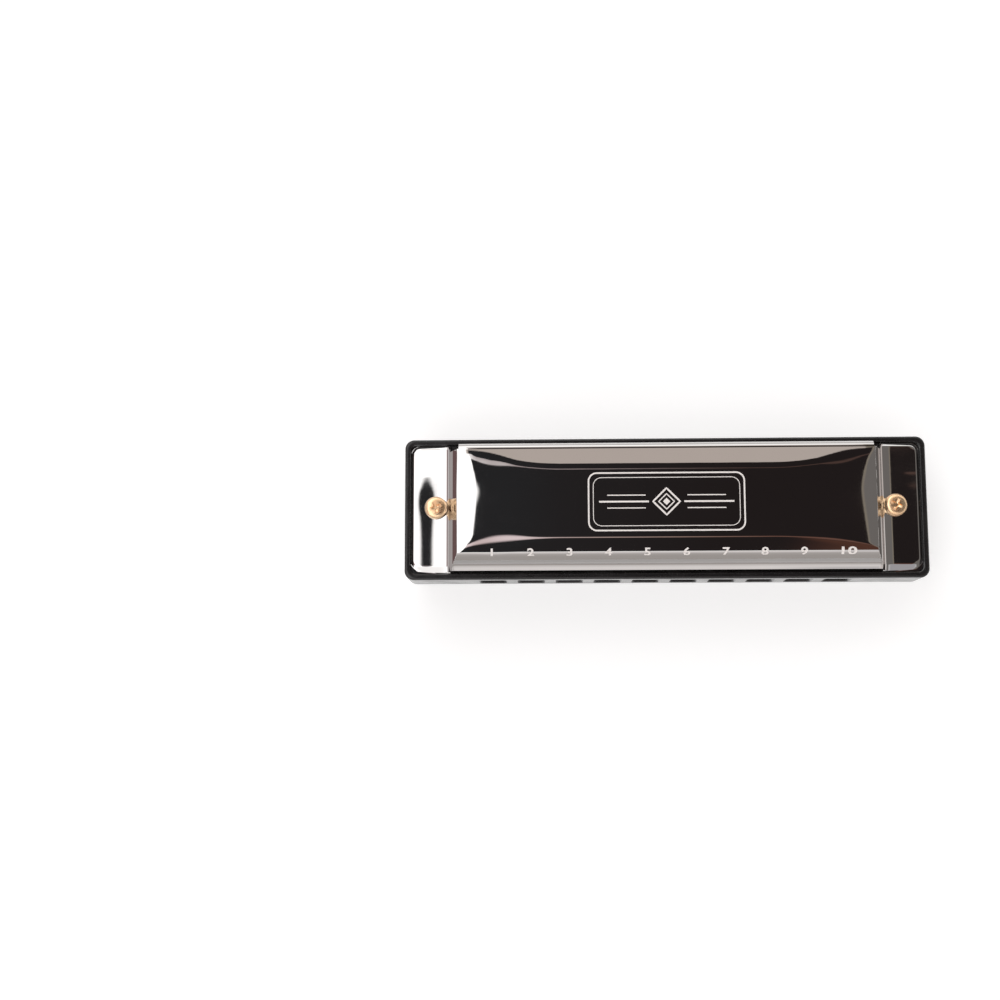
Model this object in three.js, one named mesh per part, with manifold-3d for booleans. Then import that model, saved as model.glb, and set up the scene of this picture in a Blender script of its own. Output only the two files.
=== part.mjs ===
// Ten-hole diatonic harmonica: comb, two reed plates, twenty reeds, two covers and their fasteners.
// Millimetres. +X runs along the holes towards hole 10, -Y is the mouth side, +Z is up.
// The origin is the middle of the footprint, on the plane that the lower cover lies on.
import * as THREE from 'three';
import { mergeVertices } from 'three/addons/utils/BufferGeometryUtils.js';
import Module from 'manifold-3d';

const wasm = await Module();
wasm.setup();

// ---------------------------------------------------------------- driving dimensions

const HOLES = 10;
const HOLE_PITCH = 7.5;
const LENGTH = 102;
const DEPTH = 27.8;
const HEIGHT = 19;

// Heights over the mid plane, the same on both sides of the comb.
const SEAT_Z = 2.9;
const PLATE_THICK = 0.9;
const LEDGE_Z = SEAT_Z + PLATE_THICK;
const FLANGE_THICK = 0.5;
const FLANGE_Z = LEDGE_Z + FLANGE_THICK;
const RIM_Z = 4.7;
const TOP_Z = HEIGHT / 2;

const COMB_CORNER = 1.8;
const COMB_EDGE = 0.45;
const LEDGE = { halfX: 49.9, halfY: 12.8, corner: 1.5 };
const SEAT = { halfX: 48.6, halfY: 11.4, corner: 0.6 };
const PLATE = { halfX: 48.5, halfY: 11.3, corner: 0.5 };
const CHANNEL = { width: 5.0, front: -11.2, pastRivet: 2.0 };
const MOUTH_HOLE = { width: 4.8, height: 5.0 };

// How far a cutting shape reaches past the faces that it opens.
const OVERCUT = 0.5;
// How deep a recess cut reaches outwards, past the comb's rim.
const RECESS_REACH = 2;

const REED = {
  longest: 15.6,
  lengthStep: 0.62,
  widest: 2.2,
  widthStep: 0.03,
  thick: 0.25,
  lift: 0.12,
  padHalf: 1.3,
  padWidth: 3.2,
  neck: 0.5,
  slotRoot: 1.6,
  slotGap: 0.1,
  holeRadius: 0.8,
};
const BLOW_TIP_Y = -9.8;
const DRAW_RIVET_Y = -9.4;
const RIVET = { shank: 0.6, holeRadius: 0.7, reedHead: 1.1, plateHead: 1.0, headThick: 0.32 };
// The rivet heads' rounding, as fractions of their radius and thickness.
const RIVET_DOME = { reedCrown: 0.7, reedRise: 0.5, plateCrown: 0.8 };

const COVER = {
  skin: 0.45,
  flange: { halfX: 49.75, halfY: 12.65, corner: 1.4 },
  flangeLap: 0.3,
  wallBaseX: 42.35,
  wallTopX: 40.75,
  dipStartX: 20,
  dipRate: 0.0016,
  dipSteps: 6,
  edgeDrop: 0.4,
};
// The rear edge is rolled into a C: from startDegrees, over the back and under, through sweepDegrees.
const HEM = { y: 11.27, z: 7.83, radius: 1.15, halfX: 40.2, startDegrees: 105, sweepDegrees: 320 };

// The cover's outer section, as (y, height over the mid plane) from the mouth to the back.
const SECTION = {
  foot: [-12.25, LEDGE_Z],
  lip: [-12.25, 5.7],
  noseStart: [-11.6, 6.1],
  noseBend: [-11.0, 6.68],
  noseEnd: [-9.5, 8.31],
  brow: [-8.8, 8.97],
  crease: [-6.3, 9.44],
  flatStart: [-5.8, TOP_Z],
  flatEnd: [6.6, TOP_Z],
  shoulder: [8.3, 9.4],
  back: [11.3, 8.99],
};

const COVER_SCREW = { x: 44.85, y: 0.3, shank: 0.95, hole: 1.2, head: 2.2, headHeight: 1.4, tipZ: -6.2 };
const CROSS = { width: 0.55, span: 2.3, depth: 0.7 };
const NUT = { acrossFlats: 4.0, height: 1.6, bore: 1.05 };
const PLATE_SCREW = { head: 1.3, headHeight: 0.75, shank: 0.6, pilot: 0.75, reach: 3.2 };
const PLATE_CROSS = { width: 0.32, span: 1.4, depth: 0.4 };
const PLATE_SCREW_SPOTS = [[-39.2, -8.5], [39.2, -8.5], [-39.2, 8.5], [39.2, 8.5], [0, 9.5]];
// The free depth under a plate screw's tip.
const PILOT_SPARE = 0.3;
// A screw's point, as fractions of its shank radius.
const SCREW_POINT = { flat: 0.6, taper: 0.5 };
// A pan head over its seat, as fractions of its radius and height.
const PAN_OUTLINE = [[1, 0], [1, 0.45], [0.88, 0.8], [0.6, 1], [0, 1]];

// ---------------------------------------------------------------- materials

const BLACK_PLASTIC = { color: 0x161415, roughness: 0.22, metalness: 0 };
const POLISHED_STEEL = { color: 0xc8c6c4, roughness: 0.08, metalness: 1 };
const PLATE_BRASS = { color: 0xb9954f, roughness: 0.35, metalness: 1 };
const REED_BRASS = { color: 0xc9a35c, roughness: 0.28, metalness: 1 };
const RIVET_BRASS = { color: 0xa8853f, roughness: 0.3, metalness: 1 };
const GOLD_BRASS = { color: 0xd8a560, roughness: 0.18, metalness: 1 };
const ZINC_STEEL = { color: 0x9a9a98, roughness: 0.35, metalness: 1 };

// ---------------------------------------------------------------- shape helpers

const harmonica = new THREE.Group();
harmonica.position.z = TOP_Z;

function toSolid(geometry) {
  const bare = geometry.clone();
  bare.deleteAttribute('normal');
  bare.deleteAttribute('uv');
  const merged = mergeVertices(bare, 1e-4);
  const vertProperties = Float32Array.from(merged.attributes.position.array);
  const triVerts = Uint32Array.from(merged.index.array);
  return new wasm.Manifold(new wasm.Mesh({ numProp: 3, vertProperties, triVerts }));
}

function toGeometry(body) {
  const mesh = body.getMesh();
  const geometry = new THREE.BufferGeometry();
  const positions = Float32Array.from(mesh.vertProperties);
  geometry.setAttribute('position', new THREE.BufferAttribute(positions, 3));
  geometry.setIndex(new THREE.BufferAttribute(Uint32Array.from(mesh.triVerts), 1));
  geometry.computeVertexNormals();
  return geometry;
}

function cutAll(geometry, cuts) {
  return cuts.reduce((body, cut) => body.subtract(toSolid(cut)), toSolid(geometry));
}

function place(name, body, look) {
  const mesh = new THREE.Mesh(toGeometry(body), new THREE.MeshStandardMaterial(look));
  mesh.name = name;
  harmonica.add(mesh);
}

function block(x0, x1, y0, y1, z0, z1) {
  const geometry = new THREE.BoxGeometry(x1 - x0, y1 - y0, z1 - z0);
  return geometry.translate((x0 + x1) / 2, (y0 + y1) / 2, (z0 + z1) / 2);
}

function roundedRect({ halfX, halfY, corner }) {
  const shape = new THREE.Shape();
  shape.moveTo(corner - halfX, -halfY);
  shape.absarc(halfX - corner, corner - halfY, corner, -Math.PI / 2, 0);
  shape.absarc(halfX - corner, halfY - corner, corner, 0, Math.PI / 2);
  shape.absarc(corner - halfX, halfY - corner, corner, Math.PI / 2, Math.PI);
  shape.absarc(corner - halfX, corner - halfY, corner, Math.PI, Math.PI * 1.5);
  shape.closePath();
  return shape;
}

function circleHole(x, y, radius, sides = 12) {
  const points = [];
  for (let side = 0; side < sides; side += 1) {
    const angle = (2 * Math.PI * side) / sides;
    points.push(new THREE.Vector2(x + radius * Math.cos(angle), y + radius * Math.sin(angle)));
  }
  return new THREE.Path(points);
}

function slab(shape, z0, z1, curveSegments = 4) {
  const depth = z1 - z0;
  const geometry = new THREE.ExtrudeGeometry(shape, { depth, bevelEnabled: false, curveSegments });
  return geometry.translate(0, 0, z0);
}

// A cylinder standing along Z.
function post(x, y, radius, z0, z1, sides = 12) {
  const geometry = new THREE.CylinderGeometry(radius, radius, z1 - z0, sides);
  geometry.rotateX(Math.PI / 2);
  return geometry.translate(x, y, (z0 + z1) / 2);
}

// A turned piece along Z from (radius, z) pairs, lowest first, starting and ending on the axis.
function turned(profile, x, y, sides) {
  const points = profile.map(([r, z]) => new THREE.Vector2(r, z));
  const geometry = new THREE.LatheGeometry(points, sides);
  geometry.rotateX(Math.PI / 2);
  return geometry.translate(x, y, 0);
}

// ---------------------------------------------------------------- the layout of the ten holes

function twoDigits(number) {
  return String(number).padStart(2, '0');
}

const holes = [];
for (let index = 0; index < HOLES; index += 1) {
  const reedLength = REED.longest - REED.lengthStep * index;
  holes.push({
    label: twoDigits(index + 1),
    x: HOLE_PITCH * (index - (HOLES - 1) / 2),
    reedLength,
    reedWidth: REED.widest - REED.widthStep * index,
    blowRivetY: BLOW_TIP_Y + reedLength,
    channelEnd: BLOW_TIP_Y + reedLength + CHANNEL.pastRivet,
  });
}

// ---------------------------------------------------------------- comb

function buildComb() {
  const outline = roundedRect({ halfX: LENGTH / 2, halfY: DEPTH / 2, corner: COMB_CORNER });
  const bar = new THREE.ExtrudeGeometry(outline, {
    depth: 2 * (RIM_Z - COMB_EDGE),
    bevelThickness: COMB_EDGE,
    bevelSize: COMB_EDGE,
    bevelOffset: -COMB_EDGE,
    bevelSegments: 3,
    curveSegments: 5,
  });
  bar.translate(0, 0, COMB_EDGE - RIM_Z);
  const cuts = [];
  const channelTop = SEAT_Z + OVERCUT;
  for (const side of [-1, 1]) {
    for (const [outline, floorZ] of [[LEDGE, LEDGE_Z], [SEAT, SEAT_Z]]) {
      const low = side > 0 ? floorZ : -floorZ - RECESS_REACH;
      cuts.push(slab(roundedRect(outline), low, low + RECESS_REACH));
    }
    for (const [x, y] of PLATE_SCREW_SPOTS) {
      const deep = side * (LEDGE_Z - PLATE_SCREW.reach - PILOT_SPARE);
      const open = side * channelTop;
      cuts.push(post(x, y, PLATE_SCREW.pilot, Math.min(deep, open), Math.max(deep, open), 8));
    }
    cuts.push(post(side * COVER_SCREW.x, COVER_SCREW.y, COVER_SCREW.hole, -channelTop, channelTop));
  }
  const half = CHANNEL.width / 2;
  const lip = MOUTH_HOLE.width / 2;
  const tall = MOUTH_HOLE.height / 2;
  for (const { x, channelEnd } of holes) {
    cuts.push(block(x - half, x + half, CHANNEL.front, channelEnd, -channelTop, channelTop));
    cuts.push(block(x - lip, x + lip, -DEPTH / 2 - OVERCUT, CHANNEL.front + OVERCUT, -tall, tall));
  }
  place('comb', cutAll(bar, cuts), BLACK_PLASTIC);
}

// ---------------------------------------------------------------- reed plates

function buildPlate(name, side) {
  const low = side > 0 ? SEAT_Z : -LEDGE_Z;
  const bottom = low - OVERCUT;
  const top = low + PLATE_THICK + OVERCUT;
  const cuts = [];
  for (const hole of holes) {
    const half = hole.reedWidth / 2 + REED.slotGap;
    const rivetY = side > 0 ? hole.blowRivetY : DRAW_RIVET_Y;
    const root = rivetY - side * REED.slotRoot;
    const tip = rivetY - side * (hole.reedLength + REED.slotGap);
    const slotStart = Math.min(root, tip);
    const slotEnd = Math.max(root, tip);
    cuts.push(block(hole.x - half, hole.x + half, slotStart, slotEnd, bottom, top));
    cuts.push(post(hole.x, rivetY, RIVET.holeRadius, bottom, top));
  }
  for (const [x, y] of PLATE_SCREW_SPOTS) {
    cuts.push(post(x, y, PLATE_SCREW.pilot, bottom, top));
  }
  for (const end of [-1, 1]) {
    cuts.push(post(end * COVER_SCREW.x, COVER_SCREW.y, COVER_SCREW.hole, bottom, top));
  }
  place(name, cutAll(slab(roundedRect(PLATE), low, low + PLATE_THICK), cuts), PLATE_BRASS);
}

// ---------------------------------------------------------------- reeds and rivets

// The reed's outline, with its rivet hole on the origin and its tip towards -Y or +Y.
function reedShape(hole, tipSide) {
  const half = hole.reedWidth / 2;
  const padX = REED.padWidth / 2;
  const shoulder = REED.padHalf - REED.neck;
  const outline = [
    [-padX, -REED.padHalf],
    [padX, -REED.padHalf],
    [padX, shoulder],
    [half, REED.padHalf],
    [half, hole.reedLength],
    [-half, hole.reedLength],
    [-half, REED.padHalf],
    [-padX, shoulder],
  ];
  const points = outline.map(([x, y]) => new THREE.Vector2(x, y * tipSide));
  const shape = new THREE.Shape(points);
  shape.holes.push(circleHole(0, 0, REED.holeRadius));
  return shape;
}

function buildReed(kind, hole, tipSide, rivetY, low) {
  const geometry = slab(reedShape(hole, tipSide), low, low + REED.thick);
  place(`${kind}_reed_${hole.label}`, toSolid(geometry.translate(hole.x, rivetY, 0)), REED_BRASS);
}

// The rivet's plate head lies on the plate's far face; its reed head keeps the reed's pad in place.
function buildRivet(kind, hole, rivetY, plateHeadZ, reedHeadZ) {
  const outward = Math.sign(plateHeadZ - reedHeadZ);
  const profile = [
    [0, reedHeadZ - outward * RIVET.headThick],
    [RIVET.reedHead * RIVET_DOME.reedCrown, reedHeadZ - outward * RIVET.headThick],
    [RIVET.reedHead, reedHeadZ - outward * RIVET.headThick * RIVET_DOME.reedRise],
    [RIVET.reedHead, reedHeadZ],
    [RIVET.shank, reedHeadZ],
    [RIVET.shank, plateHeadZ],
    [RIVET.plateHead, plateHeadZ],
    [RIVET.plateHead * RIVET_DOME.plateCrown, plateHeadZ + outward * RIVET.headThick],
    [0, plateHeadZ + outward * RIVET.headThick],
  ];
  if (outward < 0) {
    profile.reverse();
  }
  place(`${kind}_rivet_${hole.label}`, toSolid(turned(profile, hole.x, rivetY, 10)), RIVET_BRASS);
}

function buildReeds() {
  for (const hole of holes) {
    // Blow reeds hang under the upper plate, inside the chamber, with their tips at the mouth.
    const blowLow = SEAT_Z - REED.lift - REED.thick;
    buildReed('blow', hole, -1, hole.blowRivetY, blowLow);
    buildRivet('blow', hole, hole.blowRivetY, LEDGE_Z, blowLow - REED.lift);
    // Draw reeds lie on the lower plate's outer face, with their tips at the back.
    const drawLow = -LEDGE_Z - REED.lift - REED.thick;
    buildReed('draw', hole, 1, DRAW_RIVET_Y, drawLow);
    buildRivet('draw', hole, DRAW_RIVET_Y, -SEAT_Z, drawLow - REED.lift);
  }
}

// ---------------------------------------------------------------- covers

// The cover's outer outline in X and Z: flat in the middle, falling a little towards both ends.
function coverElevation() {
  const half = [];
  const steps = COVER.dipSteps;
  const fallEndX = COVER.wallTopX - COVER.edgeDrop;
  for (let step = 0; step <= steps; step += 1) {
    const x = COVER.dipStartX + ((fallEndX - COVER.dipStartX) * step) / steps;
    half.push(new THREE.Vector2(x, TOP_Z - COVER.dipRate * (x - COVER.dipStartX) ** 2));
  }
  const wallTopZ = half[steps].y - COVER.edgeDrop;
  half.push(new THREE.Vector2(COVER.wallTopX, wallTopZ));
  half.push(new THREE.Vector2(COVER.wallBaseX, LEDGE_Z));
  const mirrored = half.map((point) => new THREE.Vector2(-point.x, point.y)).reverse();
  return [...mirrored, ...half];
}

// Moves an open outline sideways by the skin's thickness, keeping its corners mitred.
function inset(points, distance) {
  return points.map((point, index) => {
    const before = points[Math.max(index - 1, 0)];
    const after = points[Math.min(index + 1, points.length - 1)];
    const into = point.clone().sub(before).normalize();
    const out = after.clone().sub(point).normalize();
    const first = index === 0 ? out : into;
    const second = index === points.length - 1 ? into : out;
    const normal = new THREE.Vector2(first.y + second.y, -first.x - second.x).normalize();
    const spread = normal.dot(new THREE.Vector2(first.y, -first.x));
    return point.clone().addScaledVector(normal, distance / spread);
  });
}

// A shape drawn in Y and Z, drawn out along X to both sides of the middle.
function barAlongX(shape, halfX, curveSegments = 4) {
  const settings = { depth: 2 * halfX, bevelEnabled: false, curveSegments };
  const bar = new THREE.ExtrudeGeometry(shape, settings);
  bar.translate(0, 0, -halfX);
  bar.rotateX(Math.PI / 2);
  return bar.rotateZ(Math.PI / 2);
}

// The space under a section in Y and Z and under an elevation in X and Z at once.
function domeUnder(section, elevation) {
  const wide = LENGTH;
  const alongX = barAlongX(new THREE.Shape(section), wide);
  const elevationShape = new THREE.Shape(elevation);
  const alongY = new THREE.ExtrudeGeometry(elevationShape, { depth: 2 * wide, bevelEnabled: false });
  alongY.translate(0, 0, -wide);
  alongY.rotateX(Math.PI / 2);
  return toSolid(alongX).intersect(toSolid(alongY));
}

function hemCurl() {
  const start = THREE.MathUtils.degToRad(HEM.startDegrees);
  const end = start - THREE.MathUtils.degToRad(HEM.sweepDegrees);
  const curl = new THREE.Shape();
  curl.absarc(0, 0, HEM.radius, start, end, true);
  curl.absarc(0, 0, HEM.radius - COVER.skin, end, start, false);
  curl.closePath();
  return barAlongX(curl, HEM.halfX, 7).translate(0, HEM.y, HEM.z);
}

function buildCover(name, turnedOver) {
  const section = Object.values(SECTION).map(([y, z]) => new THREE.Vector2(y, z));
  const elevation = coverElevation();
  const dome = domeUnder([...section, new THREE.Vector2(SECTION.back[0], LEDGE_Z)], elevation);

  // The hollow follows the skin, runs on through the open back and opens downwards.
  const below = LEDGE_Z - OVERCUT;
  const innerLine = inset(section, COVER.skin);
  const [beforeLast, last] = innerLine.slice(-2);
  const beyond = last.clone().sub(beforeLast).normalize().multiplyScalar(OVERCUT).add(last);
  const frontFoot = new THREE.Vector2(innerLine[0].x, below);
  const innerSection = [frontFoot, ...innerLine, beyond, new THREE.Vector2(beyond.x, below)];
  const innerEnds = inset(elevation, COVER.skin);
  const leftFoot = new THREE.Vector2(innerEnds[0].x, below);
  const rightFoot = new THREE.Vector2(innerEnds[innerEnds.length - 1].x, below);
  const hollow = domeUnder(innerSection, [leftFoot, ...innerEnds, rightFoot]);

  const middle = COVER.wallBaseX - COVER.flangeLap;
  const aboveFlange = FLANGE_Z + OVERCUT;
  const flangeCuts = [block(-middle, middle, -DEPTH, DEPTH, below, aboveFlange)];
  for (const end of [-1, 1]) {
    flangeCuts.push(post(end * COVER_SCREW.x, COVER_SCREW.y, COVER_SCREW.hole, below, aboveFlange));
  }
  const flange = cutAll(slab(roundedRect(COVER.flange), LEDGE_Z, FLANGE_Z), flangeCuts);

  const cover = dome.subtract(hollow).add(flange).add(toSolid(hemCurl()));
  place(name, turnedOver ? cover.rotate([0, 180, 0]) : cover, POLISHED_STEEL);
}

// ---------------------------------------------------------------- screws and nuts

// A pan head screw pointing down, its head's underside at height seatZ.
function panScrew({ head, headHeight, shank }, cross, seatZ, tipZ, sides) {
  const headOutline = PAN_OUTLINE.map(([across, up]) => [head * across, seatZ + headHeight * up]);
  const profile = [
    [0, tipZ],
    [shank * SCREW_POINT.flat, tipZ],
    [shank, tipZ + shank * SCREW_POINT.taper],
    [shank, seatZ],
    ...headOutline,
  ];
  const open = seatZ + headHeight + OVERCUT;
  const deep = seatZ + headHeight - cross.depth;
  const arm = cross.span / 2;
  const half = cross.width / 2;
  return toSolid(turned(profile, 0, 0, sides))
    .subtract(toSolid(block(-arm, arm, -half, half, deep, open)))
    .subtract(toSolid(block(-half, half, -arm, arm, deep, open)));
}

function buildCoverScrews() {
  const screw = panScrew(COVER_SCREW, CROSS, FLANGE_Z, COVER_SCREW.tipZ, 20);
  const corner = NUT.acrossFlats / 2 / Math.cos(Math.PI / 6);
  const hexagon = new THREE.Shape();
  for (let side = 0; side < 6; side += 1) {
    const angle = (Math.PI / 3) * side;
    const x = corner * Math.cos(angle);
    const y = corner * Math.sin(angle);
    if (side === 0) {
      hexagon.moveTo(x, y);
    } else {
      hexagon.lineTo(x, y);
    }
  }
  hexagon.closePath();
  hexagon.holes.push(circleHole(0, 0, NUT.bore));
  for (const [label, end] of [['left', -1], ['right', 1]]) {
    const x = end * COVER_SCREW.x;
    place(`cover_screw_${label}`, screw.translate([x, COVER_SCREW.y, 0]), GOLD_BRASS);
    const nut = slab(hexagon, -FLANGE_Z - NUT.height, -FLANGE_Z);
    place(`cover_nut_${label}`, toSolid(nut.translate(x, COVER_SCREW.y, 0)), GOLD_BRASS);
  }
}

function buildPlateScrews() {
  const tipZ = LEDGE_Z - PLATE_SCREW.reach;
  const upper = panScrew(PLATE_SCREW, PLATE_CROSS, LEDGE_Z, tipZ, 10);
  const lower = upper.rotate([0, 180, 0]);
  PLATE_SCREW_SPOTS.forEach(([x, y], index) => {
    const label = twoDigits(index + 1);
    place(`upper_plate_screw_${label}`, upper.translate([x, y, 0]), ZINC_STEEL);
    place(`lower_plate_screw_${label}`, lower.translate([x, y, 0]), ZINC_STEEL);
  });
}

// ---------------------------------------------------------------- assembly

buildComb();
buildPlate('upper_reed_plate', 1);
buildPlate('lower_reed_plate', -1);
buildReeds();
buildCover('upper_cover', false);
buildCover('lower_cover', true);
buildCoverScrews();
buildPlateScrews();

export default harmonica;
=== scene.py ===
"""A ten-hole diatonic harmonica, lying on its lower cover under a white light tent."""

import math

import bmesh
import bpy
import numpy as np
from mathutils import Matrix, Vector


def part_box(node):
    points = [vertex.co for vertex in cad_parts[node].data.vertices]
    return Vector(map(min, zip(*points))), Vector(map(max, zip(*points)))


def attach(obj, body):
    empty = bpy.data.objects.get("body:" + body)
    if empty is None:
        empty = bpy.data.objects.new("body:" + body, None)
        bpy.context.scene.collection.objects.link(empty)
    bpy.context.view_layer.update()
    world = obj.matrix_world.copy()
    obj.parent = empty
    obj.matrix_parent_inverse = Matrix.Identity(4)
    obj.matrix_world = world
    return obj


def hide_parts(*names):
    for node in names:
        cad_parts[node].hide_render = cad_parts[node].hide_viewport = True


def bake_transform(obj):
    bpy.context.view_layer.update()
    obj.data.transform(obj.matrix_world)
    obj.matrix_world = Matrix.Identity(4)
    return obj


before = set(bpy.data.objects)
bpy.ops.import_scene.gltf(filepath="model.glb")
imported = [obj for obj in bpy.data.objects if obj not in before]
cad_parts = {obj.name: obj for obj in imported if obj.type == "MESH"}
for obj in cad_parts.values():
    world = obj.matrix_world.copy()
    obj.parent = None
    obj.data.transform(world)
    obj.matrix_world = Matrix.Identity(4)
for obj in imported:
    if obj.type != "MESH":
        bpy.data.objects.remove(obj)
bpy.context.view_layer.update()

MM = 0.001
HOLES = 10
LABELS = [f"{number:02d}" for number in range(1, HOLES + 1)]

# ------------------------------------------------------------------ sizes read from the frame
# Shapes below are in millimetres, with heights over the comb's mid plane.

comb_low, comb_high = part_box("comb")
MID_Z = (comb_low.z + comb_high.z) / 2


def local_box(node):
    """A node's lowest and highest corners in millimetres, heights over the mid plane."""
    low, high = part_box(node)
    shift = Vector((0, 0, MID_Z))
    return (low - shift) / MM, (high - shift) / MM


COMB_HALF = local_box("comb")[1]
PLATE_LOW, PLATE_HIGH = local_box("upper_reed_plate")
COVER_LOW, COVER_HIGH = local_box("upper_cover")
SEAT_Z = PLATE_LOW.z
LEDGE_Z = PLATE_HIGH.z
TOP_Z = COVER_HIGH.z
HOLE_X = [(local_box(f"blow_reed_{label}")[0].x + local_box(f"blow_reed_{label}")[1].x) / 2
          for label in LABELS]

# ------------------------------------------------------------------ mesh helpers


def in_frame(points):
    """Millimetres over the mid plane to metres in the row frame."""
    return np.asarray(points, float) * MM + np.array([0, 0, MID_Z])


def new_object(name, points, faces, material, sharp=35, closed=True):
    mesh = bpy.data.meshes.new(name)
    mesh.from_pydata(in_frame(points).tolist(), [], [list(map(int, face)) for face in faces])
    mesh.validate()
    if closed:
        work = bmesh.new()
        work.from_mesh(mesh)
        bmesh.ops.recalc_face_normals(work, faces=work.faces)
        work.to_mesh(mesh)
        work.free()
    mesh.update()
    piece = bpy.data.objects.new(name, mesh)
    bpy.context.scene.collection.objects.link(piece)
    if material:
        mesh.materials.append(material)
    smooth(piece, sharp)
    return piece


def smooth(piece, sharp=35):
    piece.data.shade_smooth()
    piece.data.set_sharp_from_angle(angle=math.radians(sharp))


def settle(piece):
    """Applies a piece's modifiers."""
    view_layer = bpy.context.view_layer
    view_layer.update()
    shaped = piece.evaluated_get(bpy.context.evaluated_depsgraph_get())
    mesh = bpy.data.meshes.new_from_object(shaped)
    piece.modifiers.clear()
    piece.data = mesh
    return piece


def cut(piece, cutter):
    """Takes cutter's volume out of piece, and removes cutter."""
    change = piece.modifiers.new("cut", "BOOLEAN")
    change.operation = "DIFFERENCE"
    change.solver = "EXACT"
    change.object = cutter
    settle(piece)
    bpy.data.objects.remove(cutter)
    return piece


def grid_faces(rows, columns, closed=False, start=0):
    """Faces of a grid of points stored row by row; closed joins the last column to the first."""
    faces = []
    wide = columns if closed else columns - 1
    for row in range(rows - 1):
        for column in range(wide):
            after = (column + 1) % columns
            a = start + row * columns + column
            b = start + row * columns + after
            faces.append((a, b, b + columns, a + columns))
    return faces


def loft(rings):
    """Points and faces of a closed solid through rings that all hold the same number of points."""
    count = len(rings[0])
    points = [point for ring in rings for point in ring]
    faces = grid_faces(len(rings), count, closed=True)
    last = (len(rings) - 1) * count
    faces.append(tuple(range(count))[::-1])
    faces.append(tuple(range(last, last + count)))
    return points, faces


def join_shapes(shapes):
    points, faces = [], []
    for some_points, some_faces in shapes:
        shift = len(points)
        points.extend(some_points)
        faces.extend(tuple(index + shift for index in face) for face in some_faces)
    return points, faces


def rounded_rect(half_x, half_y, radius, steps=8):
    """Corner points of a rounded rectangle, anticlockwise, as (x, y)."""
    ring = []
    for quarter, (sign_x, sign_y) in enumerate([(1, -1), (1, 1), (-1, 1), (-1, -1)]):
        for step in range(steps + 1):
            angle = math.pi / 2 * (quarter - 1 + step / steps)
            x = sign_x * (half_x - radius) + radius * math.cos(angle)
            y = sign_y * (half_y - radius) + radius * math.sin(angle)
            ring.append((x, y))
    return ring


def turned(profile, x, y, sides=32):
    """A solid turned about an upright axis at (x, y), from (radius, z) pairs, lowest first."""
    rings = []
    for radius, z in profile:
        ring = []
        for side in range(sides):
            angle = 2 * math.pi * side / sides
            ring.append((x + radius * math.cos(angle), y + radius * math.sin(angle), z))
        rings.append(ring)
    return loft(rings)


def finish_piece(piece, slot, *nodes, body="root"):
    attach(piece, body)
    if nodes:
        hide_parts(*nodes)
    return piece


# ------------------------------------------------------------------ materials


class Nodes:
    """Short calls for building a material's or the world's node tree."""

    def __init__(self, tree):
        self.tree = tree

    def add(self, kind, **settings):
        node = self.tree.nodes.new(kind)
        inputs = settings.pop("inputs", {})
        for name, value in settings.items():
            setattr(node, name, value)
        for name, value in inputs.items():
            self.put(node.inputs[name], value)
        return node

    def put(self, socket, value):
        if isinstance(value, bpy.types.NodeSocket):
            self.tree.links.new(value, socket)
        else:
            socket.default_value = value

    def math(self, operation, a, b=0.0, clamp=False):
        node = self.add("ShaderNodeMath", operation=operation, use_clamp=clamp)
        self.put(node.inputs[0], a)
        self.put(node.inputs[1], b)
        return node.outputs[0]

    def product(self, first, *others):
        for other in others:
            first = self.math("MULTIPLY", first, other)
        return first

    def ramp(self, value, low, high, to_low=0.0, to_high=1.0):
        """Smoothly from to_low at low to to_high at high."""
        if low > high:
            low, high, to_low, to_high = high, low, to_high, to_low
        node = self.add("ShaderNodeMapRange", interpolation_type="SMOOTHSTEP")
        for index, number in enumerate([value, low, high, to_low, to_high]):
            self.put(node.inputs[index], number)
        return node.outputs[0]

    def noise(self, coords, scale, detail=2.0, roughness=0.5):
        node = self.add("ShaderNodeTexNoise", inputs={
            "Vector": coords, "Scale": scale, "Detail": detail, "Roughness": roughness})
        return node.outputs["Fac"]

    def stretched(self, coords, x, y, z):
        node = self.add("ShaderNodeMapping")
        self.put(node.inputs["Vector"], coords)
        node.inputs["Scale"].default_value = (x, y, z)
        return node.outputs[0]

    def mix(self, amount, a, b):
        node = self.add("ShaderNodeMix", data_type="RGBA")
        self.put(node.inputs[0], amount)
        self.put(node.inputs[6], a)
        self.put(node.inputs[7], b)
        return node.outputs[2]


def new_material(name, **uniform):
    """A material with a Principled shader, and the Nodes helper and object coordinates for it."""
    material = bpy.data.materials.new(name)
    material.use_nodes = True
    nodes = Nodes(material.node_tree)
    shader = material.node_tree.nodes["Principled BSDF"]
    for socket, value in uniform.items():
        shader.inputs[socket.replace("_", " ")].default_value = value
    coords = nodes.add("ShaderNodeTexCoord").outputs["Object"]
    return material, nodes, shader, coords


def bump(nodes, shader, height, strength, distance):
    node = nodes.add("ShaderNodeBump")
    node.inputs["Strength"].default_value = strength
    node.inputs["Distance"].default_value = distance
    nodes.put(node.inputs["Height"], height)
    nodes.put(shader.inputs["Normal"], node.outputs[0])


def make_polished_steel():
    material, nodes, shader, coords = new_material("polished_steel_finish", Metallic=1.0)
    smudge = nodes.noise(coords, 90, detail=3)
    along = nodes.noise(nodes.stretched(coords, 300, 9000, 9000), 1.0, detail=2)
    tone = nodes.mix(smudge, (0.60, 0.585, 0.575, 1), (0.64, 0.625, 0.615, 1))
    nodes.put(shader.inputs["Base Color"], tone)
    rough = nodes.math("ADD", nodes.ramp(smudge, 0.35, 0.75, 0.02, 0.045),
                       nodes.ramp(along, 0.4, 0.8, 0.0, 0.015))
    nodes.put(shader.inputs["Roughness"], rough)
    bump(nodes, shader, along, 0.02, 0.00002)
    return material


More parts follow.
